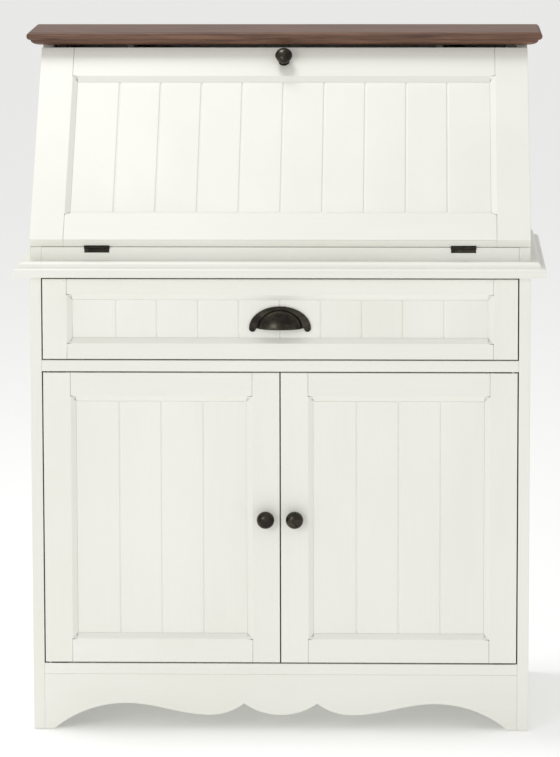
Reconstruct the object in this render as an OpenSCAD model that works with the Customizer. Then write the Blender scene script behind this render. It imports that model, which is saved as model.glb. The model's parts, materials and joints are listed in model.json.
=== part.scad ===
// Secretary desk: a slant-front writing cabinet with a drawer and a cupboard below.
// Millimetres, +Z up, the front faces -Y, and the origin is on the floor under its middle.

/* [Case] */
// Width of the case over its two side panels
case_w = 800; // [720:1:960]
// Depth of the case from its front plane to its back
case_d = 460; // [430:1:552]
// Height of the writing surface above the floor
write_h = 786; // [740:1:944]
// Height of the sloping upper part, writing surface to top surface
upper_h = 324; // [300:1:340]
// Angle of the closed flap above level
slope = 45; // [44:1:46]
// Thickness of the side panels and boards
board_t = 18; // [15:0.5:22]
// Thickness of the back panel
back_t = 6; // [4:0.5:10]
// Height of the cupboard floor above the ground
base_h = 110; // [90:1:140]
// Gap round the doors and the drawer front
gap = 2; // [1.5:0.1:3]
// Height of the glides that stand below the panels
glide_h = 1; // [0.5:0.1:2]

/* [Top board] */
// Thickness of the top board
top_t = 22; // [20:0.5:24]
// Overhang of the top board past each side panel
top_over = 24; // [10:1:30]
// Radius of the upper half-round of its edge
nose_r = 6.5; // [5:0.1:6.5]
// Height of the half-round before the step under it
nose_h = 12; // [10:0.1:12]
// Radius of the lower rounded part of its edge
ovolo_r = 20; // [5:0.5:20]
// Gap between the flap and the underside of the top board
top_gap = 3.8; // [3:0.1:10]
// Room between the swinging flap and the edge of the top board
sweep_gap = 2.4; // [1:0.1:6]

/* [Flap] */
// Thickness of the flap
flap_t = 18; // [16:0.5:22]
// Gap between the hinge line and the edge of the flap
hinge_gap = 0.75; // [0.5:0.05:1.5]
// Gap between the closed flap and the side panels behind it
flap_rest = 0.5; // [0.3:0.1:1.5]
// Width of the flap's stiles up to the bevel
flap_stile = 54; // [40:1:70]
// Height of the flap's lower rail up to the bevel
flap_rail_low = 53; // [40:1:70]
// Height of the flap's upper rail down to the bevel
flap_rail_top = 61.5; // [45:0.5:75]
// Distance between the grooves in the flap's panel
flap_pitch = 67; // [50:1:80]
// Number of grooves in the panels of the flap and the drawer
grooves = 9; // [5:2:9]
// Distance from the middle to each flap hinge
hinge_x = 293; // [200:1:310]

/* [Framing] */
// Width of the bevel round each sunk panel
bevel = 8.5; // [6:0.5:10]
// Depth of the sunk panels below the face
sunk = 6; // [4:0.5:7]
// Width of the V grooves in the panels
vee_w = 4; // [2:0.1:5]
// Depth of the V grooves in the panels
vee_d = 2.2; // [1:0.1:2.5]
// Depth of the panel's tongue and the rails' tenons
tongue = 7; // [4:0.5:7.5]
// Thickness of the tongues and tenons
tongue_t = 6; // [4:0.5:6]
// Chamfer on the ends of the rails, which draws the joint line
seam = 0.7; // [0.3:0.1:1]

/* [Drawer] */
// Height of the drawer front
drawer_h = 129; // [110:1:155]
// Thickness of the drawer front and the doors
front_t = 18; // [15:0.5:20]
// Width of the drawer front's stiles up to the bevel
drawer_stile = 39; // [30:1:50]
// Height of the drawer front's rails up to the bevel
drawer_rail = 25.5; // [20:0.5:30]
// Distance between the grooves in the drawer's panel
drawer_pitch = 65.6; // [50:0.1:72]
// Thickness of the drawer's sides
drawer_side_t = 15; // [13:0.5:18]
// Thickness of the drawer's inner front and back
drawer_end_t = 12; // [10:0.5:15]
// Thickness of the drawer's bottom
drawer_floor_t = 6; // [4:0.5:8]
// Room between the drawer's sides and the case
drawer_play = 3; // [2:0.5:5]
// Height of the wooden runners
runner_h = 17; // [14:0.5:22]
// Depth of the runner groove in the drawer's sides
runner_in = 8; // [6:0.5:9]
// Room round the runner in its groove
runner_play = 0.5; // [0.4:0.1:1]

/* [Doors] */
// Width of the door stiles up to the bevel
door_stile = 44; // [35:1:55]
// Height of the door rails up to the bevel
door_rail = 38.5; // [30:0.5:50]
// Distance between the grooves in the door panels
door_pitch = 67.4; // [50:0.1:75]
// Number of grooves in each door panel
door_grooves = 3; // [1:2:3]
// Distance of the door pivots from the door's edge
pivot_in = 7; // [6.5:0.1:10]
// Distance of the door pivots behind the front plane
pivot_y = 5; // [4.5:0.1:6]
// Radius of the door pivot pins
pivot_r = 3; // [2:0.1:3.5]
// Length of the door pivot plates
pivot_plate_l = 34; // [25:1:40]
// Thickness of the door pivot plates
pivot_plate_t = 2.5; // [2:0.1:3]

/* [Waist moulding] */
// Height of the moulding under the flap
mould_h = 24; // [22:0.5:28]
// Projection of the moulding from the case
mould_out = 25; // [18:0.5:28]
// Depth of its top surface below the writing surface
mould_drop = 21; // [20.5:0.5:26]
// Setback of the case front above the moulding
rail_y = 14; // [13.5:0.5:18]

/* [Apron] */
// Height of the low points of the apron
apron_low = 25; // [15:1:40]
// Height of the two points and the arches above the low points
apron_rise = 19; // [12:1:24]
// Distance from the middle to the two points
point_x = 59; // [40:1:80]
// Distance from the middle to the outer low points
lobe_x = 115; // [90:1:140]
// Distance from the middle to the tops of the arches
arch_x = 250; // [200:1:270]
// Radius of the arches beside the feet
arch_r = 182; // [120:1:200]

/* [Handles] */
// Diameter of the knobs
knob_d = 28.5; // [20:0.5:36]
// Projection of the knobs
knob_l = 26; // [20:0.5:30]
// Distance from the middle to each door knob
knob_x = 23.3; // [18:0.1:30]
// Width of the cup pull over its ears
pull_w = 99; // [80:1:110]
// Height of the cup pull
pull_h = 35.5; // [30:0.5:45]
// Projection of the cup pull
pull_out = 25; // [18:1:28]
// Thickness of the metal of the cup pull
pull_t = 2; // [1.5:0.1:3]

/* [Flap stays] */
// Distance of the rear pivot behind the flap's hinge line
stay_back = 201.75; // [190:0.25:205]
// Height of the rear pivot above the writing surface
stay_up = 174; // [170:0.5:178]
// Length of the rear arm between pivots
stay_rear_l = 142; // [140:0.5:144]
// Length of the front arm between pivots
stay_front_l = 246; // [244:0.5:248]
// Distance of the flap pivot from the hinge line
stay_reach = 150; // [148:0.5:152]
// Height of the flap pivot over the inside of the flap
stay_off = 12; // [10:0.5:14]
// Width of the stay arms
arm_w = 12; // [9:0.5:14]
// Thickness of the stay arms
arm_t = 2; // [1.5:0.1:2.5]

/* [Hidden] */
$fn = 64;

PAINT = "#EFEFE6";
STAIN = "#6B5244";
BARE = "#D9C7A4";
BRONZE = "#4A3E33";
STEEL = "#A9A9A6";
NYLON = "#55524E";

over = 1;                 // how far a cutter runs past what it cuts
snug = 0.1;               // clearance of glued and let-in pieces
run = 0.05;               // radial clearance of a running fit
hair = 0.5;               // gap between the layers of a moving linkage
lap = 0.4;                // how far the joint lines of a frame lie outside its bevel

// The case
half_w = case_w / 2;
in_x = half_w - board_t;
top_h = write_h + upper_h;
top_under = top_h - top_t;
in_y = case_d - back_t;
tilt = 90 - slope;
apron_top = base_h - board_t;

// The front, from the writing surface down
mould_top = write_h - mould_drop;
mould_low = mould_top - mould_h;
mould_seat = 9;           // height of the moulding's part that lies on the drawer rail
seat_z = mould_top - mould_seat;
rail_z = seat_z - board_t;
drawer_top = rail_z - gap;
drawer_low = drawer_top - drawer_h;
middle_top = drawer_low - gap;
middle_low = middle_top - board_t;
door_top = middle_low - gap;
door_low = base_h + gap;
door_mid = (door_top + door_low) / 2;

// The flap, whose hinge line lies in the plane of its inner face
axis_y = rail_y - hinge_gap;
flap_l = (top_under - top_gap - write_h - flap_t * cos(slope)) / sin(slope) - hinge_gap;
flap_tip = hinge_gap + flap_l;
flap_reach = sqrt(flap_t * flap_t + flap_tip * flap_tip);
lip_in = nose_r - sqrt(nose_r * nose_r - (nose_h - nose_r) * (nose_h - nose_r));
lip_up = upper_h - nose_h;
nose_y = axis_y + sqrt(flap_reach * flap_reach - lip_up * lip_up) + sweep_gap - lip_in;
rail_t = 18;              // thickness of the hinge rail, front to back

// The flap hinges
barrel_r = 3.2;
hinge_pin_r = 1.5;
hinge_l = 40;
knuckle_l = 20;           // length of the middle knuckle
leaf_t = 1.8;
leaf_drop = 9;            // how far the fixed leaf shows below the hinge line
leaf_in = 20;             // how far the moving leaf runs up the flap

// The drawer
drawer_x = in_x - gap;
box_x = in_x - drawer_play;
box_low = drawer_low + 4;
box_top = drawer_top - 4;
box_back = in_y - 24;
floor_z = box_low + 8;
floor_in = 6;             // how deep the drawer's bottom is let in
runner_z = (box_low + box_top) / 2;
runner_y = 46;            // where the runners and their grooves begin

// The doors
door_x = in_x - gap;
door_in = gap / 2;
pivot_x = door_x - pivot_in;
pin_up = 12;              // how far a pivot pin stands into the door
shelf_z = (door_low + door_top) / 2;
shelf_pin_r = 2.5;
shelf_pin_in = 8;

// The compartment behind the flap
division_t = 12;
divider_x = 250;
divider_back = 16;        // distance of the dividers from the flap's inner face
cubby_z = write_h + (upper_h - top_t) / 2;

// The stays
pin_r = 2.5;              // radius of the stay rivets
stay_p = [axis_y + stay_back, write_h + stay_up];
stay_q = [axis_y + stay_off * sin(slope) + stay_reach * cos(slope),
          write_h - stay_off * cos(slope) + stay_reach * sin(slope)];
stay_d = norm(stay_q - stay_p);
stay_open = acos((stay_rear_l ^ 2 + stay_d ^ 2 - stay_front_l ^ 2) / (2 * stay_rear_l * stay_d));
stay_rear_a = atan2(stay_q.y - stay_p.y, stay_q.x - stay_p.x) + stay_open;
stay_e = stay_p + stay_rear_l * [cos(stay_rear_a), sin(stay_rear_a)];
stay_front_a = atan2(stay_e.y - stay_q.y, stay_e.x - stay_q.x);
wall_t = 2.5;             // thickness of the plate on the side panel
rear_x1 = in_x - wall_t - hair;
rear_x0 = rear_x1 - arm_t;
front_x1 = rear_x0 - hair;
front_x0 = front_x1 - arm_t;
lug_x1 = front_x0 - hair;
lug_x0 = lug_x1 - arm_t;

// The frame's origin lies under the middle of the whole object
front_reach = max(mould_out, knob_l, pull_out - sunk);
mid_y = (case_d - front_reach) / 2;

// Each framed front: [left, right, bottom, top, stile, lower rail, upper rail]
FLAP = [-half_w, half_w, hinge_gap, flap_tip, flap_stile, flap_rail_low, flap_rail_top];
DRAWER = [-drawer_x, drawer_x, drawer_low, drawer_top, drawer_stile, drawer_rail, drawer_rail];
DOOR = [door_in, door_x, door_low, door_top, door_stile, door_rail, door_rail];
// The window of a framed front at the panel: [left, right, bottom, top]
function window(f) = [f[0] + f[4] + bevel, f[1] - f[4] - bevel,
                      f[2] + f[5] + bevel, f[3] - f[6] - bevel];

// Points of an arc about c, from angle a to b, in n steps
function arc(c, rx, rz, a, b, n = 12) =
  [for (i = [0:n]) c + [rx * cos(a + (b - a) * i / n), rz * sin(a + (b - a) * i / n)]];
// Radius of an arc that rises by rise over half its width
function arc_r(half, rise) = (half * half + rise * rise) / (2 * rise);
// Y of the flap's inner face, set back square to the slope by d, at height z
function slope_y(z, d) = axis_y + d / sin(slope) + (z - write_h) / tan(slope);

module finish(tone) {
  color(tone) translate([0, -mid_y, 0]) children();
}
module block(lo, hi) {
  translate(lo) cube(hi - lo);
}
module hand(s) {
  mirror([s < 0 ? 1 : 0, 0, 0]) children();
}
module both() {
  children();
  mirror([1, 0, 0]) children();
}
// An outline in y and z, extruded from x0 to x1
module across(x0, x1) {
  translate([x0, 0, 0]) rotate([90, 0, 90]) linear_extrude(x1 - x0) children();
}
// An outline in x and z, extruded from y0 to y1
module through(y0, y1) {
  translate([0, y1, 0]) rotate([90, 0, 0]) linear_extrude(y1 - y0) children();
}
// A rod along x from x0 to x1 at the point p in y and z
module rod(p, r, x0, x1) {
  translate([x0, p.x, p.y]) rotate([0, 90, 0]) cylinder(h = x1 - x0, r = r);
}
// Takes pieces from the flap's own frame, hinge line at zero, to the closed flap
module on_flap() {
  translate([0, axis_y, write_h]) rotate([-tilt, 0, 0]) children();
}

// ---- Framed fronts ----
module window_cut(f, t) {
  w = window(f);
  k = bevel * over / sunk;
  intersection() {
    translate([0, 0, w[2] - bevel - k]) linear_extrude(w[3] - w[2] + 2 * (bevel + k))
      polygon([[w[0] - bevel - k, -over], [w[1] + bevel + k, -over], [w[1], sunk],
               [w[1], t + over], [w[0], t + over], [w[0], sunk]]);
    across(w[0] - bevel - k, w[1] + bevel + k)
      polygon([[-over, w[2] - bevel - k], [sunk, w[2]], [t + over, w[2]],
               [t + over, w[3]], [sunk, w[3]], [-over, w[3] + bevel + k]]);
  }
}
module panel_tongue(f, t, c) {
  w = window(f);
  y0 = (sunk + t - tongue_t) / 2;
  block([w[0] - tongue - c, y0 - c, w[2] - tongue - c],
        [w[1] + tongue + c, y0 + tongue_t + c, w[3] + tongue + c]);
}
module tenons(f, t, low, c) {
  w = window(f);
  y0 = (sunk + t - tongue_t) / 2;
  z0 = low ? f[2] + bevel : w[3] + tongue + bevel / 2;
  z1 = low ? w[2] - tongue - bevel / 2 : f[3] - bevel;
  block([w[0] - bevel - 2 * tongue - c, y0 - c, z0 - c],
        [w[1] + bevel + 2 * tongue + c, y0 + tongue_t + c, z1 + c]);
}
module stiles(f, t) {
  w = window(f);
  difference() {
    union() {
      for (i = [0, 1]) {
        x_out = f[i];
        x_mid = i == 0 ? w[0] - bevel - lap : w[1] + bevel + lap;
        block([min(x_out, x_mid), 0, f[2]], [max(x_out, x_mid), t, f[3]]);
        block([min(w[i], x_mid), 0, w[2] - bevel - lap],
              [max(w[i], x_mid), t, w[3] + bevel + lap]);
      }
    }
    window_cut(f, t);
    panel_tongue(f, t, snug);
    tenons(f, t, true, snug);
    tenons(f, t, false, snug);
  }
}
module rail(f, t, low) {
  w = window(f);
  z_out = low ? f[2] : f[3];
  z_mid = low ? w[2] - bevel - lap : w[3] + bevel + lap;
  x0 = w[0] - bevel - lap;
  x1 = w[1] + bevel + lap;
  z_in = low ? w[2] : w[3];
  difference() {
    union() {
      block([x0, 0, min(z_out, z_mid)], [x1, t, max(z_out, z_mid)]);
      block([w[0], 0, min(z_in, z_mid)], [w[1], t, max(z_in, z_mid)]);
      tenons(f, t, low, 0);
    }
    window_cut(f, t);
    panel_tongue(f, t, snug);
    for (x = [x0, x1])
      translate([x, 0, min(z_out, z_mid) - over]) rotate([0, 0, 45])
        translate([-seam, -seam, 0]) cube([2 * seam, 2 * seam, abs(z_out - z_mid) + 2 * over]);
  }
}
module panel(f, t, n, pitch) {
  w = window(f);
  mid = (w[0] + w[1]) / 2;
  difference() {
    union() {
      block([w[0], sunk, w[2]], [w[1], t, w[3]]);
      panel_tongue(f, t, 0);
    }
    for (i = [0:n - 1])
      translate([mid + (i - (n - 1) / 2) * pitch, 0, w[2] - tongue - over])
        linear_extrude(w[3] - w[2] + 2 * (tongue + over))
          polygon([[-vee_w / 2, sunk - over], [vee_w / 2, sunk - over],
                   [vee_w / 2, sunk], [0, sunk + vee_d], [-vee_w / 2, sunk]]);
  }
}

// ---- The case ----
module side_panel() {
  slope_foot = slope_y(write_h, flap_rest);
  difference() {
    across(in_x, half_w)
      polygon([[0, glide_h], [in_y + back_t, glide_h], [in_y + back_t, top_under],
               [slope_y(top_under, flap_rest), top_under], [slope_foot, write_h],
               [rail_y, write_h], [rail_y, mould_top], [0, mould_top]]);
    for (y = [24, case_d - 24])
      translate([in_x + board_t / 2, y, 0]) cylinder(h = glide_up + snug, r = glide_r + run);
    for (y = shelf_pin_y)
      rod([y, shelf_z - board_t / 2 - shelf_pin_r], shelf_pin_r + run, in_x - over,
          in_x + shelf_pin_in);
  }
}
glide_r = 7;
glide_up = 5;
shelf_pin_y = [90, in_y - 70];
module side_left() finish(PAINT) hand(-1) side_panel();
module side_right() finish(PAINT) side_panel();

// Half of a moulded edge seen from its end: [inward, height] from the top down
function edge_points() = concat(
  arc([nose_r, top_h - nose_r], nose_r, nose_r, 90, 180 + asin((nose_h - nose_r) / nose_r)),
  [[nose_r, top_h - nose_h - edge_step]],
  arc([nose_r + ovolo_r, top_h - nose_h - edge_step], ovolo_r,
      top_t - nose_h - edge_step, 180, 270));
edge_step = 1;
module top_board() finish(STAIN) {
  e = edge_points();
  n = len(e) - 1;
  x = half_w + top_over;
  intersection() {
    through(nose_y - over, case_d)
      polygon(concat([for (p = e) [p.x - x, p.y]], [for (i = [n:-1:0]) [x - e[i].x, e[i].y]]));
    across(-x - over, x + over)
      polygon(concat([for (p = e) [nose_y + p.x, p.y]], [[case_d, top_under], [case_d, top_h]]));
  }
}
module bottom_board() finish(PAINT) difference() {
  block([-in_x, 0, apron_top], [in_x, in_y, base_h]);
  both() pivot_plate(base_h - pivot_plate_t, snug / 2);
}
module middle_board() finish(PAINT) difference() {
  block([-in_x, 0, middle_low], [in_x, in_y, middle_top]);
  both() pivot_plate(middle_low, snug / 2);
}
module drawer_top_rail() finish(PAINT) block([-in_x, 0, rail_z], [in_x, 80, seat_z]);
module hinge_rail() finish(PAINT) difference() {
  block([-in_x, rail_y, seat_z], [in_x, rail_y + rail_t, write_h]);
  both() hinge_pocket(rail_y, rail_y + leaf_t);
  both() barrel_pocket();
}
module writing_board() finish(PAINT)
  block([-in_x, rail_y + rail_t, write_h - board_t], [in_x, in_y, write_h]);
module back_panel() finish(PAINT)
  block([-in_x, in_y, apron_top], [in_x, case_d, top_under]);
module rear_plinth() finish(PAINT)
  block([-in_x, in_y - board_t, glide_h], [in_x, in_y, apron_top]);
module cupboard_shelf() finish(PAINT)
  block([-in_x + hair, front_t + 25, shelf_z - board_t / 2],
        [in_x - hair, in_y - hair, shelf_z + board_t / 2]);
module shelf_pins() finish(STEEL) both()
  for (y = shelf_pin_y)
    rod([y, shelf_z - board_t / 2 - shelf_pin_r], shelf_pin_r, in_x - 9, in_x + shelf_pin_in);
module top_cleats() finish(PAINT) both()
  block([in_x - 16, nose_y + 100, top_under - 16], [in_x, in_y - 20, top_under]);
module floor_glides() finish(NYLON) both()
  for (y = [24, case_d - 24])
    translate([in_x + board_t / 2, y, 0]) cylinder(h = glide_up, r = glide_r);

// ---- The moulding under the flap ----
fascia_h = 8.5;
bead_out = 5;
bead_h = 5.5;
fillet_h = 2;
crown_r = 8;
function mould_points() = let(
    z1 = mould_low + fascia_h,
    z2 = z1 + bead_h,
    crown_x = mould_out - bead_out - 4 - crown_r,
    crown_h = mould_top - z2 - fillet_h)
  concat([[0, mould_low], [mould_out, mould_low]],
         arc([mould_out - bead_out, z1], bead_out, bead_h, 0, 90, 8),
         [[crown_x + crown_r, z2]],
         arc([crown_x, z2 + fillet_h], crown_r, crown_h, 0, 90, 8), [[0, mould_top]]);
module moulding_front() finish(PAINT) {
  intersection() {
    across(-half_w - mould_out, half_w + mould_out)
      polygon([for (p = mould_points()) [-p.x, p.y]]);
    translate([0, 0, mould_low - over]) linear_extrude(mould_h + 2 * over)
      polygon([[-half_w, 0], [-half_w - mould_out, -mould_out],
               [half_w + mould_out, -mould_out], [half_w, 0]]);
  }
  block([-in_x, -bead_out, seat_z], [in_x, rail_y, mould_top]);
}
module moulding_side() {
  intersection() {
    through(-mould_out, case_d)
      polygon([for (p = mould_points()) [half_w + p.x, p.y]]);
    translate([0, 0, mould_low - over]) linear_extrude(mould_h + 2 * over)
      polygon([[half_w, 0], [half_w + mould_out, -mould_out],
               [half_w + mould_out, case_d], [half_w, case_d]]);
  }
}
module moulding_left() finish(PAINT) hand(-1) moulding_side();
module moulding_right() finish(PAINT) moulding_side();

// ---- The apron ----
apron_high = apron_low + apron_rise;
point_r = arc_r(point_x, apron_rise);
lobe_r = arc_r(lobe_x - point_x, apron_rise);
foot_x = arch_x + sqrt(arch_r ^ 2 - (arch_r - apron_high + glide_h) ^ 2);
// The lower edge from the middle to the right foot
function apron_edge() = concat(
  arc([0, apron_low + point_r], point_r, point_r, 270, 270 + asin(point_x / point_r), 10),
  arc([lobe_x, apron_low + lobe_r], lobe_r, lobe_r,
      270 - asin((lobe_x - point_x) / lobe_r), 270, 10),
  [for (i = [1:16]) [lobe_x + (arch_x - lobe_x) * i / 16,
                     apron_low + apron_rise * (1 - cos(180 * i / 16)) / 2]],
  arc([arch_x, apron_high - arch_r], arch_r, arch_r, 88, 90 - asin((foot_x - arch_x) / arch_r), 10),
  [[in_x, glide_h]]);
foot_cut = arch_x + sqrt(arch_r ^ 2 - (arch_r - apron_rise) ^ 2);
module apron_board() {
  e = apron_edge();
  n = len(e) - 1;
  through(0, board_t)
    polygon(concat([for (i = [n:-1:1]) [-e[i].x, e[i].y]], e,
                   [[in_x, apron_top], [-in_x, apron_top]]));
}
module apron() finish(PAINT) intersection() {
  apron_board();
  block([-foot_cut, 0, 0], [foot_cut, board_t, apron_top]);
}
// The apron's ends, which stand on the floor as feet
module apron_feet() finish(PAINT) intersection() {
  apron_board();
  both() block([foot_cut, 0, 0], [in_x, board_t, apron_top]);
}

// ---- The compartment behind the flap ----
module pigeonhole_shelf() finish(PAINT) {
  z0 = cubby_z - division_t / 2;
  across(-divider_x, divider_x)
    polygon([[slope_y(z0, divider_back), z0], [in_y, z0], [in_y, z0 + division_t],
             [slope_y(z0 + division_t, divider_back), z0 + division_t]]);
}
module divider() {
  across(divider_x, divider_x + division_t)
    polygon([[slope_y(write_h, divider_back), write_h], [in_y, write_h],
             [in_y, top_under], [slope_y(top_under, divider_back), top_under]]);
}
module divider_left() finish(PAINT) hand(-1) divider();
module divider_right() finish(PAINT) divider();

// ---- The flap ----
module flap_place() finish(PAINT) on_flap() difference() {
  translate([0, -flap_t, 0]) children();
  both() translate([hinge_x, 0, 0]) {
    rod([0, 0], barrel_r + 0.4, -hinge_l / 2 - hair, hinge_l / 2 + hair);
    block([-hinge_l / 2 - snug, -leaf_t, -over], [hinge_l / 2 + snug, over, leaf_in + snug]);
  }
}
module flap_stiles() flap_place() stiles(FLAP, flap_t);
module flap_rail_upper() flap_place() rail(FLAP, flap_t, false);
module flap_rail_lower() flap_place() rail(FLAP, flap_t, true);
module flap_panel() flap_place() panel(FLAP, flap_t, grooves, flap_pitch);
module flap_knob() finish(BRONZE) on_flap()
  translate([0, -flap_t, flap_tip - flap_rail_top / 2]) knob();

// ---- The flap hinges ----
module barrel_pocket() {
  translate([hinge_x, 0, 0])
    rod([axis_y, write_h], barrel_r + 0.4, -hinge_l / 2 - hair, hinge_l / 2 + hair);
}
module hinge_pocket(y0, y1) {
  block([hinge_x - hinge_l / 2 - snug, y0 - over, write_h - leaf_drop - snug],
        [hinge_x + hinge_l / 2 + snug, y1, write_h + over]);
}
module hinge_fixed_leaves() finish(BRONZE) both() translate([hinge_x, 0, 0]) difference() {
  union() {
    block([-hinge_l / 2, rail_y, write_h - leaf_drop], [hinge_l / 2, rail_y + leaf_t, write_h]);
    for (s = [-1, 1])
      rod([axis_y, write_h], barrel_r, min(s * hinge_l / 2, s * (knuckle_l / 2 + 0.3)),
          max(s * hinge_l / 2, s * (knuckle_l / 2 + 0.3)));
  }
  rod([axis_y, write_h], barrel_r + 0.4, -knuckle_l / 2 - 0.3, knuckle_l / 2 + 0.3);
  rod([axis_y, write_h], hinge_pin_r + run / 2, -hinge_l, hinge_l);
}
module hinge_pins() finish(BRONZE) both()
  translate([hinge_x, 0, 0]) rod([axis_y, write_h], hinge_pin_r, -hinge_l / 2, hinge_l / 2);
module hinge_moving_leaves() finish(BRONZE) on_flap() both() translate([hinge_x, 0, 0])
  difference() {
    union() {
      block([-hinge_l / 2, -leaf_t, barrel_r + 0.8], [hinge_l / 2, 0, leaf_in]);
      block([-knuckle_l / 2, -leaf_t, 0], [knuckle_l / 2, 0, barrel_r + 1]);
      rod([0, 0], barrel_r, -knuckle_l / 2, knuckle_l / 2);
    }
    rod([0, 0], hinge_pin_r + run, -hinge_l, hinge_l);
  }

// ---- The flap stays ----
module arm(p, a, l, x0, x1) {
  far = p + l * [cos(a), sin(a)];
  difference() {
    across(x0, x1) polygon(concat(arc(p, arm_w / 2, arm_w / 2, a + 90, a + 270),
                                  arc(far, arm_w / 2, arm_w / 2, a - 90, a + 90)));
    rod(p, pin_r + run, x0 - over, x1 + over);
  }
}
module stay_wall_plates() finish(STEEL) both() {
  rod(stay_p, 14, in_x - wall_t, in_x);
  rod(stay_p, pin_r, rear_x0 - hair / 2, in_x - wall_t / 2);
}
module stay_rear_arms() finish(STEEL) both() {
  arm(stay_p, stay_rear_a, stay_rear_l, rear_x0, rear_x1);
}
module stay_front_arms() finish(STEEL) both() {
  arm(stay_q, stay_front_a, stay_front_l, front_x0, front_x1);
}
module stay_flap_plates() finish(STEEL) on_flap() both() {
  block([lug_x0 - 16, 0, stay_reach - 22], [lug_x1, 2, stay_reach + 22]);
  block([lug_x0, 0, stay_reach - arm_w / 2], [lug_x1, stay_off, stay_reach + arm_w / 2]);
  rod([stay_off, stay_reach], arm_w / 2, lug_x0, lug_x1);
  rod([stay_off, stay_reach], pin_r, lug_x0, front_x1);
}

// ---- The drawer ----
module drawer_stiles() finish(PAINT) stiles(DRAWER, front_t);
module drawer_rails() finish(PAINT) {
  rail(DRAWER, front_t, true);
  rail(DRAWER, front_t, false);
}
module drawer_panel() finish(PAINT) bolt_holes() panel(DRAWER, front_t, grooves, drawer_pitch);
drawer_y = front_t + drawer_end_t;
module drawer_inner_front() finish(BARE) bolt_holes()
  block([-box_x, front_t, box_low], [box_x, drawer_y, box_top]);
module drawer_bottom() finish(BARE)
  block([-box_x + drawer_side_t - floor_in, drawer_y, floor_z],
        [box_x - drawer_side_t + floor_in, box_back, floor_z + drawer_floor_t]);
module drawer_side() difference() {
  block([box_x - drawer_side_t, drawer_y, box_low], [box_x, box_back, box_top]);
  block([box_x - drawer_side_t - over, drawer_y - over, floor_z],
        [box_x - drawer_side_t + floor_in + snug, box_back + over, floor_z + drawer_floor_t]);
  block([box_x - runner_in, runner_y - 6, runner_z - runner_h / 2 - runner_play],
        [box_x + over, box_back + over, runner_z + runner_h / 2 + runner_play]);
}
module drawer_side_left() finish(BARE) hand(-1) drawer_side();
module drawer_side_right() finish(BARE) drawer_side();
module drawer_back() finish(BARE)
  block([-box_x + drawer_side_t, box_back - drawer_end_t, floor_z + drawer_floor_t],
        [box_x - drawer_side_t, box_back, box_top - 6]);
module runner() {
  block([box_x - runner_in + runner_play, runner_y, runner_z - runner_h / 2],
        [in_x, in_y - 10, runner_z + runner_h / 2]);
}
module runner_left() finish(BARE) hand(-1) runner();
module runner_right() finish(BARE) runner();

// ---- The cup pull: a half dome on a crescent rim, open below ----
ear_r = 5.5;              // the rim's rounded lower ends
ear_x = pull_w / 2 - ear_r;
rim_t = pull_t + 1;
dome_x = 36.5;            // half the dome's width
dome_h = pull_h - ear_r;
pull_z = (drawer_low + drawer_top - pull_h + ear_r) / 2;
bolt_r = 1.6;
bolt_in = 2;              // how far the bolts reach into the rim
bolt_head_r = 3.6;
bolt_head_h = 2.2;
module dome(x, out, h) {
  scale([x / h, 1, 1]) rotate([90, 0, 0]) rotate_extrude()
    polygon(concat([[0, -over], [h, -over]], arc([0, 0], h, out, 0, 90, 10)));
}
// The shank of each bolt, grown by c, reaching r into the rim
module bolts(c, r) both() translate([ear_x, drawer_y, 0])
  rotate([90, 0, 0]) cylinder(h = drawer_y - sunk + r, r = bolt_r + c);
module cup_pull() finish(BRONZE) translate([0, 0, pull_z]) difference() {
  union() {
    translate([0, sunk, 0]) intersection() {
      dome(dome_x, pull_out, dome_h);
      block([-dome_x, -pull_out, 0], [dome_x, 0, dome_h]);
    }
    through(sunk - rim_t, sunk)
      polygon(concat(arc([0, 0], pull_w / 2, pull_h, 0, 180, 32),
                     arc([-ear_x, 0], ear_r, ear_r, 180, 360),
                     arc([ear_x, 0], ear_r, ear_r, 180, 360)));
  }
  translate([0, sunk, 0]) dome(dome_x - pull_t, pull_out - pull_t, dome_h - pull_t);
  bolts(run, bolt_in + run);
}
module pull_bolts() finish(STEEL) translate([0, 0, pull_z]) {
  bolts(0, bolt_in);
  both() translate([ear_x, drawer_y + bolt_head_h, 0])
    rotate([90, 0, 0]) cylinder(h = bolt_head_h, r = bolt_head_r);
}
module bolt_holes() difference() {
  children();
  translate([0, 0, pull_z]) bolts(run, over);
}

// ---- Knobs ----
function knob_points() = let(
    r = knob_d / 2,
    flange = r * 0.64,
    neck = r * 0.42,
    rim = knob_l * 0.62)
  concat([[0, 0], [flange, 0], [flange, 2]],
         arc([flange, 2 + (flange - neck)], flange - neck, flange - neck, 270, 180, 6),
         arc([neck, rim], r - neck - 1.2, rim - 2 - (flange - neck) - 1, 270, 360, 6),
         [[r, rim + 0.8], [r, rim + 2]],
         arc([0, rim + 2], r, knob_l - rim - 2, 0, 90, 12));
module knob() {
  rotate([90, 0, 0]) rotate_extrude() polygon(knob_points());
}

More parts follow.
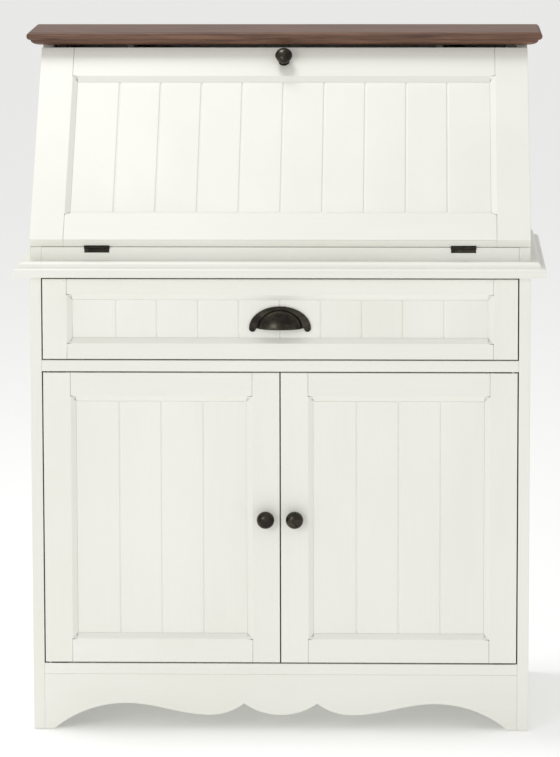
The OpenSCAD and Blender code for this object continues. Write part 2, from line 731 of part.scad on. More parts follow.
// ---- The doors ----
// The plate and pin of a pivot, grown by c where it is let in
module pivot_plate(z, c) {
  block([pivot_x - pivot_plate_l + 5 - c, pivot_y - 4 - c, z - c],
        [pivot_x + 5 + c, pivot_y + 4 + c, z + pivot_plate_t + c]);
}
module door_pivot_pins() finish(STEEL) both() {
  pivot_plate(base_h - pivot_plate_t, 0);
  pivot_plate(middle_low, 0);
  translate([pivot_x, pivot_y, base_h - snug]) cylinder(h = pin_up, r = pivot_r);
  translate([pivot_x, pivot_y, middle_low - pin_up + snug]) cylinder(h = pin_up, r = pivot_r);
}
module door_cut() difference() {
  children();
  for (z = [door_low, door_top - pivot_plate_t])
    pivot_plate(z, snug / 2);
  for (z = [door_low + over, door_top - pin_up - over])
    translate([pivot_x, pivot_y, z]) cylinder(h = pin_up, r = pivot_r + hair);
}
module door_plates() difference() {
  for (z = [door_low, door_top - pivot_plate_t])
    pivot_plate(z, 0);
  translate([pivot_x, pivot_y, base_h]) cylinder(h = middle_low - base_h, r = pivot_r + run);
}
module door_knob() translate([knob_x, 0, door_mid]) knob();
module door_strike() {
  block([8, front_t, door_top - 16], [28, front_t + 1.5, door_top - 3]);
}
module door_catch() finish(NYLON)
  block([-32, front_t + 2, middle_low - 15], [32, front_t + 18, middle_low]);
module door_left_stiles() finish(PAINT) hand(-1) door_cut() stiles(DOOR, front_t);
module door_left_rails() finish(PAINT) hand(-1) door_rails();
module door_left_panel() finish(PAINT) hand(-1) panel(DOOR, front_t, door_grooves, door_pitch);
module door_left_knob() finish(BRONZE) hand(-1) door_knob();
module door_left_pivot_plates() finish(STEEL) hand(-1) door_plates();
module door_left_strike() finish(STEEL) hand(-1) door_strike();
module door_right_stiles() finish(PAINT) door_cut() stiles(DOOR, front_t);
module door_right_rails() finish(PAINT) door_rails();
module door_right_panel() finish(PAINT) panel(DOOR, front_t, door_grooves, door_pitch);
module door_right_knob() finish(BRONZE) door_knob();
module door_right_pivot_plates() finish(STEEL) door_plates();
module door_right_strike() finish(STEEL) door_strike();
module door_rails() {
  rail(DOOR, front_t, true);
  rail(DOOR, front_t, false);
}

side_left();
side_right();
top_board();
bottom_board();
middle_board();
drawer_top_rail();
hinge_rail();
writing_board();
back_panel();
moulding_front();
moulding_left();
moulding_right();
apron();
apron_feet();
rear_plinth();
cupboard_shelf();
shelf_pins();
pigeonhole_shelf();
divider_left();
divider_right();
runner_left();
runner_right();
door_catch();
door_pivot_pins();
hinge_fixed_leaves();
hinge_pins();
stay_wall_plates();
top_cleats();
floor_glides();
flap_stiles();
flap_rail_upper();
flap_rail_lower();
flap_panel();
flap_knob();
hinge_moving_leaves();
stay_flap_plates();
stay_rear_arms();
stay_front_arms();
drawer_stiles();
drawer_rails();
drawer_panel();
drawer_inner_front();
drawer_side_left();
drawer_side_right();
drawer_back();
drawer_bottom();
cup_pull();
pull_bolts();
door_left_stiles();
door_left_rails();
door_left_panel();
door_left_knob();
door_left_pivot_plates();
door_left_strike();
door_right_stiles();
door_right_rails();
door_right_panel();
door_right_knob();
door_right_pivot_plates();
door_right_strike();
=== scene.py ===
"""Looks of a painted slant-front secretary desk: joinery, ironmongery, finishes, light and camera."""

import json
import logging
import math
from dataclasses import dataclass, field
from enum import Enum
from typing import Any, Iterable, Sequence

import bmesh
import bpy
from mathutils import Matrix, Vector


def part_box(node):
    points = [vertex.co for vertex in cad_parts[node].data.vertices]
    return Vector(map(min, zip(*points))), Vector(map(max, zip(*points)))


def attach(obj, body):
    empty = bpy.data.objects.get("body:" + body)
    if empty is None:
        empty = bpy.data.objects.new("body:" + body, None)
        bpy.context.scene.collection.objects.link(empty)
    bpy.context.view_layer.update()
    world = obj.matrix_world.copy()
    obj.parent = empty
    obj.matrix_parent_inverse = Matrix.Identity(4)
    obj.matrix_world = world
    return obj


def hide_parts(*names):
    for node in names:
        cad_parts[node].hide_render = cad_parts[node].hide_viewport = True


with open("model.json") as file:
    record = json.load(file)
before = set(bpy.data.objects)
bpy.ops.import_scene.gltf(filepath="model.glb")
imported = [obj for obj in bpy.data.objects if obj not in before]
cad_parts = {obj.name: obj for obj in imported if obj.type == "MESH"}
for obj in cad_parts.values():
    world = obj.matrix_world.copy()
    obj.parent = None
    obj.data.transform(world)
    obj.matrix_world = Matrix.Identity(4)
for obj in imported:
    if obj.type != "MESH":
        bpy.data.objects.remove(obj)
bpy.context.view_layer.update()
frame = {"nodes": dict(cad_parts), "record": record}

LOG = logging.getLogger("desk")
MM = 0.001
MERGE = 0.002 * MM  # corners closer than this are one corner
FLAT_DEG = 0.6  # faces that meet at less than this are one flat face
SHARP_DEG = 24.0  # edges sharper than this are eased
ON_SEAM = 0.01 * MM


# ---- Materials ----


class Grain(Enum):
    """Which way the fibres or brush marks of a piece run, as an axis index."""

    ACROSS = 0
    DEEP = 1
    UPRIGHT = 2


def linear(hex_colour: str) -> tuple[float, float, float, float]:
    """Turns an sRGB hex colour such as "#EFEDE6" to linear RGBA.

    Args:
        hex_colour: Six hex digits after a hash sign.

    Returns:
        Linear red, green and blue, and an alpha of one.
    """
    parts = [int(hex_colour[i : i + 2], 16) / 255 for i in (1, 3, 5)]
    red, green, blue = (
        c / 12.92 if c <= 0.04045 else ((c + 0.055) / 1.055) ** 2.4 for c in parts
    )
    return (red, green, blue, 1.0)


def add_node(
    tree: bpy.types.NodeTree,
    kind: str,
    values: dict[Any, Any] | None = None,
    links: dict[Any, bpy.types.NodeSocket] | None = None,
    **settings: Any,
) -> bpy.types.Node:
    """Adds a shader node with its settings, input values and incoming links.

    Args:
        tree: The node tree to add to.
        kind: The node's type, such as "ShaderNodeBump".
        values: Values for the node's inputs, by name or index.
        links: Output sockets that feed the node's inputs, by name or index.
        **settings: Attributes of the node itself.

    Returns:
        The new node.
    """
    node = tree.nodes.new(kind)
    for name, value in settings.items():
        setattr(node, name, value)
    for socket, value in (values or {}).items():
        node.inputs[socket].default_value = value
    for socket, source in (links or {}).items():
        tree.links.new(source, node.inputs[socket])
    return node


def new_tree(name: str) -> tuple[bpy.types.Material, bpy.types.NodeTree, bpy.types.Node]:
    """Makes a node material that holds one Principled shader.

    Args:
        name: The material's name.

    Returns:
        The material, its node tree and its shader node.
    """
    material = bpy.data.materials.new(name)
    material.use_nodes = True
    tree = material.node_tree
    tree.nodes.clear()
    shader = add_node(tree, "ShaderNodeBsdfPrincipled")
    output = add_node(tree, "ShaderNodeOutputMaterial")
    tree.links.new(shader.outputs["BSDF"], output.inputs["Surface"])
    return material, tree, shader


def along_grain(
    tree: bpy.types.NodeTree, grain: Grain, width_mm: float, stretch: float
) -> bpy.types.NodeSocket:
    """Coordinates for a pattern drawn out along the grain.

    Args:
        tree: The material's node tree.
        grain: The axis that the pattern runs along.
        width_mm: Size of the pattern's features across the grain.
        stretch: How many times longer than wide the features are.

    Returns:
        A vector socket in which one unit is one feature.
    """
    across = 1 / (width_mm * MM)
    scale = [across] * 3
    scale[grain.value] = across / stretch
    where = add_node(tree, "ShaderNodeTexCoord")
    mapped = add_node(
        tree,
        "ShaderNodeMapping",
        values={"Scale": scale},
        links={"Vector": where.outputs["Object"]},
    )
    return mapped.outputs["Vector"]


def noise(
    tree: bpy.types.NodeTree, vector: bpy.types.NodeSocket, detail: float, distortion: float = 0.0
) -> bpy.types.NodeSocket:
    """A noise whose features are one unit of the vector wide.

    Args:
        tree: The material's node tree.
        vector: The coordinates, one unit to a feature.
        detail: How many finer octaves it holds.
        distortion: How far the pattern is warped.

    Returns:
        The noise's factor socket.
    """
    node = add_node(
        tree,
        "ShaderNodeTexNoise",
        values={"Scale": 1.0, "Detail": detail, "Roughness": 0.55, "Distortion": distortion},
        links={"Vector": vector},
    )
    return node.outputs["Fac"]


def ramp(
    tree: bpy.types.NodeTree,
    factor: bpy.types.NodeSocket,
    stops: Sequence[tuple[float, tuple[float, float, float, float]]],
) -> bpy.types.NodeSocket:
    """A colour ramp over a factor.

    Args:
        tree: The material's node tree.
        factor: The socket that drives the ramp.
        stops: Places from 0 to 1 with their linear colours, in rising order.

    Returns:
        The ramp's colour socket.
    """
    node = add_node(tree, "ShaderNodeValToRGB", links={"Fac": factor})
    points = node.color_ramp.elements
    for place, colour in stops[2:]:
        points.new(place).color = colour
    for point, (place, colour) in zip(points, sorted(stops, key=lambda s: s[0])):
        point.position = place
        point.color = colour
    return node.outputs["Color"]


def grey(value: float) -> tuple[float, float, float, float]:
    """A linear grey, for ramps that carry a number."""
    return (value, value, value, 1.0)


@dataclass(frozen=True)
class PaintedWood:
    """Alkyd satinwood paint brushed on close-grained wood: soft sheen, faint brush marks."""

    name: str = "satinwood_paint"
    light: str = "#ECECE5"
    shade: str = "#E7E7DE"
    patch_mm: float = 140.0
    bristle_mm: float = 3.2  # real bristle marks are about 1 mm apart, drawn coarser to show
    ior: float = 1.48
    roughness: tuple[float, float] = (0.36, 0.48)

    def make(self, grain: Grain) -> bpy.types.Material:
        """Builds the paint with its brush marks along the grain.

        Args:
            grain: The way the brush ran.

        Returns:
            The material.
        """
        material, tree, shader = new_tree(f"{self.name}_{grain.name.lower()}")
        patches = noise(tree, along_grain(tree, grain, self.patch_mm, 3.0), 2.0)
        marks = noise(tree, along_grain(tree, grain, self.bristle_mm, 45.0), 3.0)
        both = add_node(
            tree,
            "ShaderNodeMath",
            operation="MULTIPLY_ADD",
            values={1: 0.35},
            links={0: marks, 2: patches},
        )
        tone = ramp(tree, both.outputs[0], [(0.45, linear(self.shade)), (0.85, linear(self.light))])
        sheen = ramp(tree, marks, [(0.3, grey(self.roughness[0])), (0.7, grey(self.roughness[1]))])
        bump = add_node(
            tree,
            "ShaderNodeBump",
            values={"Strength": 0.22, "Distance": 0.25 * MM},
            links={"Height": marks},
        )
        tree.links.new(tone, shader.inputs["Base Color"])
        tree.links.new(sheen, shader.inputs["Roughness"])
        tree.links.new(bump.outputs["Normal"], shader.inputs["Normal"])
        shader.inputs["IOR"].default_value = self.ior
        return material


@dataclass(frozen=True)
class StainedOak:
    """Oak under a brown oil stain: open pores and darker latewood lines in a dull, even film."""

    name: str = "stained_oak"
    dark: str = "#4A2F23"
    middle: str = "#644534"
    pale: str = "#7A5844"
    ring_mm: float = 9.0
    pore_mm: float = 1.6
    ior: float = 1.5

    def make(self, grain: Grain) -> bpy.types.Material:
        """Builds the stained wood with its grain along one axis.

        Args:
            grain: The way the fibres run.

        Returns:
            The material.
        """
        material, tree, shader = new_tree(f"{self.name}_{grain.name.lower()}")
        rings = noise(tree, along_grain(tree, grain, self.ring_mm, 16.0), 4.0, 0.6)
        pores = noise(tree, along_grain(tree, grain, self.pore_mm, 30.0), 2.0)
        mixed = add_node(
            tree,
            "ShaderNodeMath",
            operation="MULTIPLY_ADD",
            values={1: 0.4},
            links={0: pores, 2: rings},
        )
        tone = ramp(
            tree,
            mixed.outputs[0],
            [(0.5, linear(self.dark)), (0.7, linear(self.middle)), (0.9, linear(self.pale))],
        )
        sheen = ramp(tree, pores, [(0.3, grey(0.58)), (0.7, grey(0.44))])
        bump = add_node(
            tree,
            "ShaderNodeBump",
            values={"Strength": 0.35, "Distance": 0.3 * MM},
            links={"Height": mixed.outputs[0]},
        )
        tree.links.new(tone, shader.inputs["Base Color"])
        tree.links.new(sheen, shader.inputs["Roughness"])
        tree.links.new(bump.outputs["Normal"], shader.inputs["Normal"])
        shader.inputs["IOR"].default_value = self.ior
        return material


@dataclass(frozen=True)
class BareBeech(StainedOak):
    """Beech left bare under clear lacquer: pale, warm and close-grained."""

    name: str = "lacquered_beech"
    dark: str = "#B99268"
    middle: str = "#D0AE84"
    pale: str = "#DFC39C"
    ring_mm: float = 6.0
    pore_mm: float = 1.2


@dataclass(frozen=True)
class AntiqueBronze:
    """Cast zinc with a blackened bronze plating, rubbed brown where fingers touch it."""

    name: str = "antique_bronze"
    dark: str = "#2A2723"
    rubbed: str = "#4A463C"
    cloud_mm: float = 14.0
    grit_mm: float = 1.2

    def make(self, grain: Grain) -> bpy.types.Material:
        """Builds the plated metal; it has no grain, so the axis only turns its clouds.

        Args:
            grain: The axis along which the clouds are drawn out.

        Returns:
            The material.
        """
        material, tree, shader = new_tree(f"{self.name}_{grain.name.lower()}")
        clouds = noise(tree, along_grain(tree, grain, self.cloud_mm, 1.5), 3.0)
        grit = noise(tree, along_grain(tree, grain, self.grit_mm, 1.0), 2.0)
        tone = ramp(tree, clouds, [(0.4, linear(self.dark)), (0.72, linear(self.rubbed))])
        sheen = ramp(tree, clouds, [(0.35, grey(0.32)), (0.7, grey(0.22))])
        bump = add_node(
            tree,
            "ShaderNodeBump",
            values={"Strength": 0.15, "Distance": 0.15 * MM},
            links={"Height": grit},
        )
        tree.links.new(tone, shader.inputs["Base Color"])
        tree.links.new(sheen, shader.inputs["Roughness"])
        tree.links.new(bump.outputs["Normal"], shader.inputs["Normal"])
        shader.inputs["Metallic"].default_value = 0.85
        return material


@dataclass(frozen=True)
class SatinSteel(AntiqueBronze):
    """Zinc-plated mild steel: grey, with a soft spangle."""

    name: str = "plated_steel"
    dark: str = "#8E8F90"
    rubbed: str = "#B4B5B5"
    cloud_mm: float = 6.0
    grit_mm: float = 0.8


@dataclass(frozen=True)
class MouldedNylon:
    """Moulded nylon: dark, dull, with a fine spark-eroded texture."""

    name: str = "moulded_nylon"
    body: str = "#4A4743"
    pale: str = "#5A5651"
    grit_mm: float = 1.5

    def make(self, grain: Grain) -> bpy.types.Material:
        """Builds the plastic.

        Args:
            grain: The axis along which the texture is turned.

        Returns:
            The material.
        """
        material, tree, shader = new_tree(f"{self.name}_{grain.name.lower()}")
        grit = noise(tree, along_grain(tree, grain, self.grit_mm, 1.0), 2.0)
        tone = ramp(tree, grit, [(0.3, linear(self.body)), (0.7, linear(self.pale))])
        bump = add_node(
            tree,
            "ShaderNodeBump",
            values={"Strength": 0.2, "Distance": 0.1 * MM},
            links={"Height": grit},
        )
        tree.links.new(tone, shader.inputs["Base Color"])
        tree.links.new(bump.outputs["Normal"], shader.inputs["Normal"])
        shader.inputs["Roughness"].default_value = 0.55
        shader.inputs["IOR"].default_value = 1.53
        return material


PAINT = PaintedWood()
STAIN = StainedOak()
BARE = BareBeech()
BRONZE = AntiqueBronze()
STEEL = SatinSteel()
NYLON = MouldedNylon()
Finish = PaintedWood | StainedOak | AntiqueBronze | MouldedNylon


class Workshop:
    """Keeps the finishes already mixed, and knows which body each CAD node rides on."""

    def __init__(self) -> None:
        """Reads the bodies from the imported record."""
        bodies = frame["record"]["behaviour"]["bodies"]
        self.body_of = {node: body for body, nodes in bodies.items() for node in nodes}
        self.mixed: dict[tuple[str, Grain], bpy.types.Material] = {}

    def finish(self, finish: Finish, grain: Grain) -> bpy.types.Material:
        """The material of a finish with its grain one way, made once.

        Args:
            finish: The finish.
            grain: The way its grain or brush marks run.

        Returns:
            The material.
        """
        key = (finish.name, grain)
        if key not in self.mixed:
            self.mixed[key] = finish.make(grain)
        return self.mixed[key]

    def fit(
        self,
        piece: bpy.types.Object,
        body: str,
        finish: Finish,
        grain: Grain,
        nodes: Iterable[str] = (),
    ) -> bpy.types.Object:
        """Dresses a new piece, hangs it on its body and hides the nodes that it stands for.

        Args:
            piece: The new mesh object, in the desk's frame.
            body: The CAD body that it rides on.
            finish: Its finish.
            grain: The way its grain runs.
            nodes: The CAD nodes that it replaces.

        Returns:
            The piece.
        """
        piece.data.materials.clear()
        piece.data.materials.append(self.finish(finish, grain))
        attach(piece, body)
        for node in nodes:
            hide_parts(node)
        LOG.info("piece %s on %s in %s", piece.name, body, finish.name)
        return piece


# ---- Meshes ----


def new_object(name: str, mesh: bpy.types.Mesh) -> bpy.types.Object:
    """Links a mesh to the scene as an object of that name.

    Args:
        name: The object's name.
        mesh: Its mesh.

    Returns:
        The object.
    """
    piece = bpy.data.objects.new(name, mesh)
    bpy.context.scene.collection.objects.link(piece)
    return piece


def finish_mesh(build: bmesh.types.BMesh, name: str, smooth_deg: float = 40.0) -> bpy.types.Object:
    """Turns a bmesh to an object with smooth faces that break at sharp edges.

    Args:
        build: The bmesh, which is freed.
        name: The object's name.
        smooth_deg: Edges sharper than this stay hard.

    Returns:
        The object.
    """
    bmesh.ops.recalc_face_normals(build, faces=build.faces)
    mesh = bpy.data.meshes.new(name)
    build.to_mesh(mesh)
    build.free()
    mesh.polygons.foreach_set("use_smooth", [True] * len(mesh.polygons))
    mesh.set_sharp_from_angle(angle=math.radians(smooth_deg))
    piece = new_object(name, mesh)
    weighted = piece.modifiers.new("flat_faces", "WEIGHTED_NORMAL")
    weighted.keep_sharp = True
    return piece


def eased(
    node: str,
    ease_mm: float,
    shortest_mm: float = 12.0,
    seam_x: float = math.inf,
) -> bpy.types.Object:
    """A copy of a CAD node whose sharp edges are eased, as sanding and paint leave them.

    Args:
        node: The CAD node.
        ease_mm: Width of the eased edge.
        shortest_mm: Edges shorter than this are left alone.
        seam_x: Edges this far from the middle stay sharp, where boards are glued flush.

    Returns:
        The new object, not yet on a body.
    """
    build = bmesh.new()
    build.from_mesh(frame["nodes"][node].data)
    bmesh.ops.remove_doubles(build, verts=build.verts, dist=MERGE)
    bmesh.ops.dissolve_limit(
        build, angle_limit=math.radians(FLAT_DEG), verts=build.verts, edges=build.edges
    )
    build.normal_update()
    sharp = [
        edge
        for edge in build.edges
        if len(edge.link_faces) == 2
        and edge.calc_face_angle(0.0) > math.radians(SHARP_DEG)
        and edge.calc_length() > shortest_mm * MM
        and any(abs(abs(vert.co.x) - seam_x) > ON_SEAM for vert in edge.verts)
    ]
    bmesh.ops.bevel(
        build,
        geom=sharp,
        offset=ease_mm * MM,
        offset_type="OFFSET",
        segments=2,
        profile=0.6,
        affect="EDGES",
        clamp_overlap=False,
    )
    return finish_mesh(build, f"{node}_made")


def turned(
    name: str, outline: Sequence[tuple[float, float]], place: Matrix, steps: int = 72
) -> bpy.types.Object:
    """A piece turned on a lathe about its own Z axis.

    Args:
        name: The object's name.
        outline: Radius and height points in metres, from the axis to the axis.
        place: Where the piece's own frame stands.
        steps: How many faces go round.

    Returns:
        The new object.
    """
    build = bmesh.new()
    rings: list[list[bmesh.types.BMVert]] = []
    for radius, height in outline:
        if radius < 1e-7:
            rings.append([build.verts.new(place @ Vector((0, 0, height)))])
            continue
        ring = []
        for step in range(steps):
            angle = math.tau * step / steps
            point = Vector((radius * math.cos(angle), radius * math.sin(angle), height))
            ring.append(build.verts.new(place @ point))
        rings.append(ring)
    for low, high in zip(rings, rings[1:]):
        for step in range(steps):
            corners = [low[step % len(low)], low[(step + 1) % len(low)],
                       high[(step + 1) % len(high)], high[step % len(high)]]
            distinct = list(dict.fromkeys(corners))
            if len(distinct) > 2:
                build.faces.new(distinct)
    return finish_mesh(build, name, 50.0)


def curve_points(
    centre: tuple[float, float], radii: tuple[float, float], start: float, end: float, steps: int
) -> list[tuple[float, float]]:
    """Points of an elliptical arc.

    Args:
        centre: The arc's middle.
        radii: Its two radii.
        start: First angle in degrees.
        end: Last angle in degrees.
        steps: How many stretches it has.

    Returns:
        The points, from the first angle to the last.
    """
    turn = [math.radians(start + (end - start) * i / steps) for i in range(steps + 1)]
    return [(centre[0] + radii[0] * math.cos(a), centre[1] + radii[1] * math.sin(a)) for a in turn]


# ---- Sub-assemblies ----


@dataclass
class Joinery:
    """The wooden boards of one part of the desk, each eased and painted along its grain."""

    shop: Workshop
    boards: dict[str, Grain]
    finish: Finish = PAINT
    ease_mm: float = 0.9
    shortest_mm: float = 12.0
    seam_x: float = math.inf

    def build(self) -> None:
        """Makes each board from its CAD node and hangs it on the node's body."""
        for node, grain in self.boards.items():
            piece = eased(node, self.ease_mm, self.shortest_mm, self.seam_x)
            self.shop.fit(piece, self.shop.body_of[node], self.finish, grain, [node])


@dataclass
class Knob:
    """A turned metal knob on a small flange, its head domed with a crisp rim."""

    shop: Workshop
    node: str
    out: Vector = field(default_factory=lambda: Vector((0, -1, 0)))
    head_r: float = 14.1 * MM
    height: float = 25.8 * MM

    def outline(self) -> list[tuple[float, float]]:
        """The knob's half section from the seat to the top of the dome.

        Returns:
            Radius and height points.
        """
        flange, neck = self.head_r * 0.64, self.head_r * 0.42
        rim = self.height * 0.60
        cove = flange - neck
        points = [(0.0, 0.0), (flange - 0.4 * MM, 0.0), (flange, 0.4 * MM), (flange, 1.6 * MM)]
        points += curve_points((flange, 2 * MM + cove), (cove, cove), 268, 180, 8)
        points += curve_points(
            (neck, rim), (self.head_r - neck - 0.8 * MM, rim - 3 * MM - cove), 272, 360, 8
        )
        points += curve_points((self.head_r - 0.7 * MM, rim + 1 * MM), (0.7 * MM, 0.7 * MM), -70, 60, 5)
        points += curve_points(
            (0.0, rim + 1.6 * MM), (self.head_r - 0.5 * MM, self.height - rim - 1.6 * MM), 4, 90, 18
        )
        points[-1] = (0.0, self.height)
        return points

    def build(self) -> None:
        """Turns the knob where its CAD node is, square to the face that it stands on."""
        low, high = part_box(self.node)
        middle = (low + high) / 2
        seat = middle - self.out * self.height / 2
        place = Matrix.Translation(seat) @ self.out.to_track_quat("Z", "Y").to_matrix().to_4x4()
        knob = turned(f"{self.node}_turned", self.outline(), place)
        body = self.shop.body_of[self.node]
        self.shop.fit(knob, body, BRONZE, Grain.UPRIGHT, [self.node])


@dataclass
class SlottedScrews:
    """Countersunk slotted screws whose heads stand a little proud."""

    shop: Workshop
    name: str
    body: str
    seats: list[Vector]
    out: Vector
    head_r: float = 1.9 * MM
    proud: float = 0.7 * MM
    slot_w: float = 0.5 * MM
    slot_turns: tuple[float, ...] = (20.0, 75.0, 140.0, 50.0)

    def build(self) -> None:
        """Turns the heads and cuts each slot as a sunk groove at its own angle."""
        build = bmesh.new()
        turn = self.out.to_track_quat("Z", "Y").to_matrix().to_4x4()
        for index, seat in enumerate(self.seats):
            spin = Matrix.Rotation(math.radians(self.slot_turns[index % 4]), 4, "Z")
            self.head(build, Matrix.Translation(seat) @ turn @ spin)
        piece = finish_mesh(build, self.name, 35.0)
        self.shop.fit(piece, self.body, BRONZE, Grain.UPRIGHT)

    def head(self, build: bmesh.types.BMesh, place: Matrix) -> None:
        """Adds one head: two half discs either side of a slot, on a sunk floor.

        Args:
            build: The bmesh to add to.
            place: The head's own frame, with Z out of the surface.
        """
        half = self.slot_w / 2
        low, floor, top = -0.3 * MM, 0.2 * MM, self.proud
        steps = 14
        start = math.degrees(math.asin(half / self.head_r))
        for side in (0.0, 180.0):
            ring = curve_points((0, 0), (self.head_r,) * 2, side + start, side + 180 - start, steps)
            inner = [(x * 0.82, half + (y - half) * 0.82 if side == 0 else -half + (y + half) * 0.82)
                     for x, y in ring]
            base = [build.verts.new(place @ Vector((x, y, low))) for x, y in ring]
            rim = [build.verts.new(place @ Vector((x, y, top * 0.55))) for x, y in ring]
            crown = [build.verts.new(place @ Vector((x, y, top))) for x, y in inner]
            for lower, upper in ((base, rim), (rim, crown)):
                for i in range(steps):
                    build.faces.new([lower[i], lower[i + 1], upper[i + 1], upper[i]])
                build.faces.new([lower[-1], lower[0], upper[0], upper[-1]])
            build.faces.new(crown)
            build.faces.new(base[::-1])
        reach = self.head_r * 0.98
        corners = [(-reach, -half), (reach, -half), (reach, half), (-reach, half)]
        under = [build.verts.new(place @ Vector((x, y, low))) for x, y in corners]
        over = [build.verts.new(place @ Vector((x, y, floor))) for x, y in corners]
        build.faces.new(over)
        build.faces.new(under[::-1])
        for i in range(4):
            j = (i + 1) % 4
            build.faces.new([under[i], under[j], over[j], over[i]])


@dataclass
class FlapHinges:
    """The butt hinges at the foot of the flap, with their leaves, pins and screws."""

    shop: Workshop
    screw_in: float = 11 * MM
    screw_drop: float = 3.4 * MM

    def build(self) -> None:
        """Dresses leaves and pins, and sets two screws in each visible leaf."""
        for node in ("hinge_fixed_leaves", "hinge_moving_leaves", "hinge_pins"):
            piece = eased(node, 0.25, 4.0)
            self.shop.fit(piece, self.shop.body_of[node], BRONZE, Grain.ACROSS, [node])
        low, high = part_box("hinge_fixed_leaves")
        middle = high.x - 20 * MM
        face_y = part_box("hinge_rail")[0].y
        seats = [
            Vector((side * middle + shift, face_y - 0.1 * MM, low.z + self.screw_drop))
            for side in (-1, 1)
            for shift in (-self.screw_in, self.screw_in)
        ]
        SlottedScrews(self.shop, "hinge_screws", "case", seats, Vector((0, -1, 0))).build()


@dataclass
class CupPull:
    """The cast cup pull and the bolts that hold it from inside the drawer."""

    shop: Workshop

    def build(self) -> None:
        """Rounds the casting's edges and leaves the bolts as they are turned."""
        pull = eased("cup_pull", 0.3, 0.5)
        self.shop.fit(pull, "drawer", BRONZE, Grain.ACROSS, ["cup_pull"])
        dress_node(self.shop, "pull_bolts", STEEL, Grain.ACROSS)


def dress_node(shop: Workshop, node: str, finish: Finish, grain: Grain) -> None:
    """Gives a CAD node that keeps its own mesh a finish.

    Args:
        shop: The workshop that mixes finishes.
        node: The CAD node.
        finish: Its finish.
        grain: The way its grain runs.
    """
    mesh = frame["nodes"][node].data
    mesh.materials.clear()
    mesh.materials.append(shop.finish(finish, grain))
    LOG.info("node %s in %s", node, finish.name)


# ---- Stage ----


@dataclass(frozen=True)
class Lamp:
    """A square area light aimed at the middle of the desk."""

    name: str
    place: tuple[float, float, float]
    size_m: float
    watts: float


@dataclass
class Studio:
    """A pale floor, a white surround, soft lights and the camera."""

    eye: tuple[float, float, float] = (0.2088, -7.4081, 1.6604)
    pitch_deg: float = 8.571
    yaw_deg: float = 1.663
    roll_deg: float = -0.126
    lens_mm: float = 216.16
    floor_m: float = 60.0
    floor_glow: float = 0.2
    surround: float = 0.65
    aim: tuple[float, float, float] = (0.0, 0.0, 0.6)
    lamps: tuple[Lamp, ...] = (
        Lamp("key", (-0.9, 0.35, 4.2), 1.2, 48.0),
        Lamp("fill", (-2.4, -4.8, 1.9), 2.0, 58.0),
    )

    def camera(self) -> None:
        """Sets up a long lens in front of the desk, a little above it and to its right."""
        data = bpy.data.cameras.new("camera")
        data.lens = self.lens_mm
        data.sensor_width = 36.0
        data.clip_end = 100.0
        pitch, yaw, roll = (math.radians(a) for a in (self.pitch_deg, self.yaw_deg, self.roll_deg))
        ahead = Vector(
            (-math.sin(yaw) * math.cos(pitch), math.cos(yaw) * math.cos(pitch), -math.sin(pitch))
        )
        right = Vector((math.cos(yaw), math.sin(yaw), 0))
        above = right.cross(ahead)
        tilted_right = right * math.cos(roll) + above * math.sin(roll)
        tilted_above = above * math.cos(roll) - right * math.sin(roll)
        camera = bpy.data.objects.new("camera", data)
        turn = Matrix((tilted_right, tilted_above, -ahead)).transposed()
        camera.matrix_world = Matrix.Translation(self.eye) @ turn.to_4x4()
        bpy.context.scene.collection.objects.link(camera)
        bpy.context.scene.camera = camera

    def floor(self) -> None:
        """Lays the floor and gives it a plain pale, matt finish."""
        build = bmesh.new()
        bmesh.ops.create_grid(build, x_segments=2, y_segments=2, size=self.floor_m / 2)
        floor = finish_mesh(build, "floor")
        material, tree, shader = new_tree("floor_paper")
        shader.inputs["Base Color"].default_value = linear("#F7F7F6")
        shader.inputs["Roughness"].default_value = 0.9
        shader.inputs["Emission Color"].default_value = (1, 1, 1, 1)
        shader.inputs["Emission Strength"].default_value = self.floor_glow
        floor.data.materials.append(material)

    def light(self, lamp: Lamp) -> None:
        """Hangs one lamp and turns it to the desk.

        Args:
            lamp: Its name, place, size and power.
        """
        data = bpy.data.lights.new(lamp.name, "AREA")
        data.size = lamp.size_m
        data.energy = lamp.watts
        light = bpy.data.objects.new(lamp.name, data)
        light.location = lamp.place
        aim = Vector(self.aim) - Vector(lamp.place)
        light.rotation_euler = aim.to_track_quat("-Z", "Y").to_euler()
        bpy.context.scene.collection.objects.link(light)

    def build(self) -> None:
        """Sets the camera, the floor, the surround and the lights."""
        self.camera()
        self.floor()
        for lamp in self.lamps:
            self.light(lamp)
        world = bpy.data.worlds.new("surround")
        world.use_nodes = True
        background = world.node_tree.nodes["Background"]
        background.inputs["Color"].default_value = (1, 1, 1, 1)
        background.inputs["Strength"].default_value = self.surround
        scene = bpy.context.scene
        scene.world = world
        scene.view_settings.view_transform = "Standard"
        scene.view_settings.look = "None"


def grains(grain: Grain, *nodes: str) -> dict[str, Grain]:
    """Boards that share one grain direction."""
    return {node: grain for node in nodes}


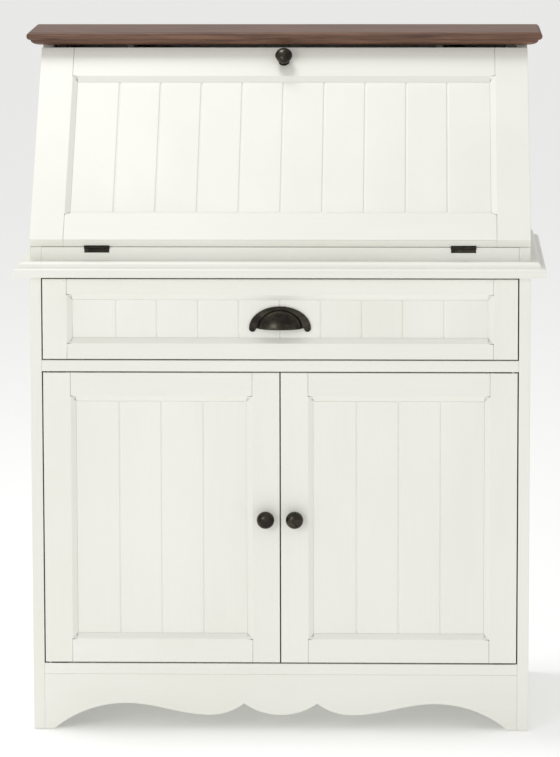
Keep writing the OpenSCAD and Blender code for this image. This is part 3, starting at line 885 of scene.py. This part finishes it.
def main() -> None:
    """Builds the desk's pieces sub-assembly by sub-assembly."""
    logging.basicConfig(level=logging.INFO, format="%(name)s: %(message)s")
    Studio().build()
    shop = Workshop()
    case = {
        **grains(Grain.UPRIGHT, "side_left", "side_right", "back_panel", "divider_left",
                 "divider_right"),
        **grains(Grain.ACROSS, "bottom_board", "middle_board", "drawer_top_rail", "hinge_rail",
                 "writing_board", "moulding_front", "rear_plinth", "cupboard_shelf",
                 "pigeonhole_shelf"),
        **grains(Grain.DEEP, "moulding_left", "moulding_right", "top_cleats"),
    }
    Joinery(shop, case).build()
    apron = grains(Grain.ACROSS, "apron", "apron_feet")
    Joinery(shop, apron, shortest_mm=2.0, seam_x=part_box("apron")[1].x).build()
    Joinery(shop, grains(Grain.ACROSS, "top_board"), STAIN, ease_mm=0.6).build()
    flap = {
        **grains(Grain.UPRIGHT, "flap_stiles", "flap_panel"),
        **grains(Grain.ACROSS, "flap_rail_upper", "flap_rail_lower"),
    }
    Joinery(shop, flap, ease_mm=0.8).build()
    fronts = {
        **grains(Grain.ACROSS, "drawer_rails", "door_left_rails", "door_right_rails"),
        **grains(Grain.UPRIGHT, "drawer_stiles", "drawer_panel", "door_left_stiles",
                 "door_left_panel", "door_right_stiles", "door_right_panel"),
    }
    Joinery(shop, fronts, ease_mm=0.8).build()
    box = {
        **grains(Grain.DEEP, "drawer_side_left", "drawer_side_right", "runner_left",
                 "runner_right"),
        **grains(Grain.ACROSS, "drawer_inner_front", "drawer_back", "drawer_bottom"),
    }
    Joinery(shop, box, BARE, ease_mm=0.8).build()
    metal = grains(Grain.ACROSS, "shelf_pins", "door_pivot_pins", "stay_wall_plates",
                   "stay_rear_arms", "stay_front_arms", "stay_flap_plates",
                   "door_left_pivot_plates", "door_right_pivot_plates", "door_left_strike",
                   "door_right_strike")
    Joinery(shop, metal, STEEL, ease_mm=0.25, shortest_mm=3.0).build()
    Joinery(shop, grains(Grain.ACROSS, "door_catch", "floor_glides"), NYLON, ease_mm=0.4).build()
    FlapHinges(shop).build()
    CupPull(shop).build()
    slope = Vector((0, -1, 1)).normalized()
    Knob(shop, "flap_knob", slope).build()
    Knob(shop, "door_left_knob").build()
    Knob(shop, "door_right_knob").build()


if __name__ == "__main__":
    main()
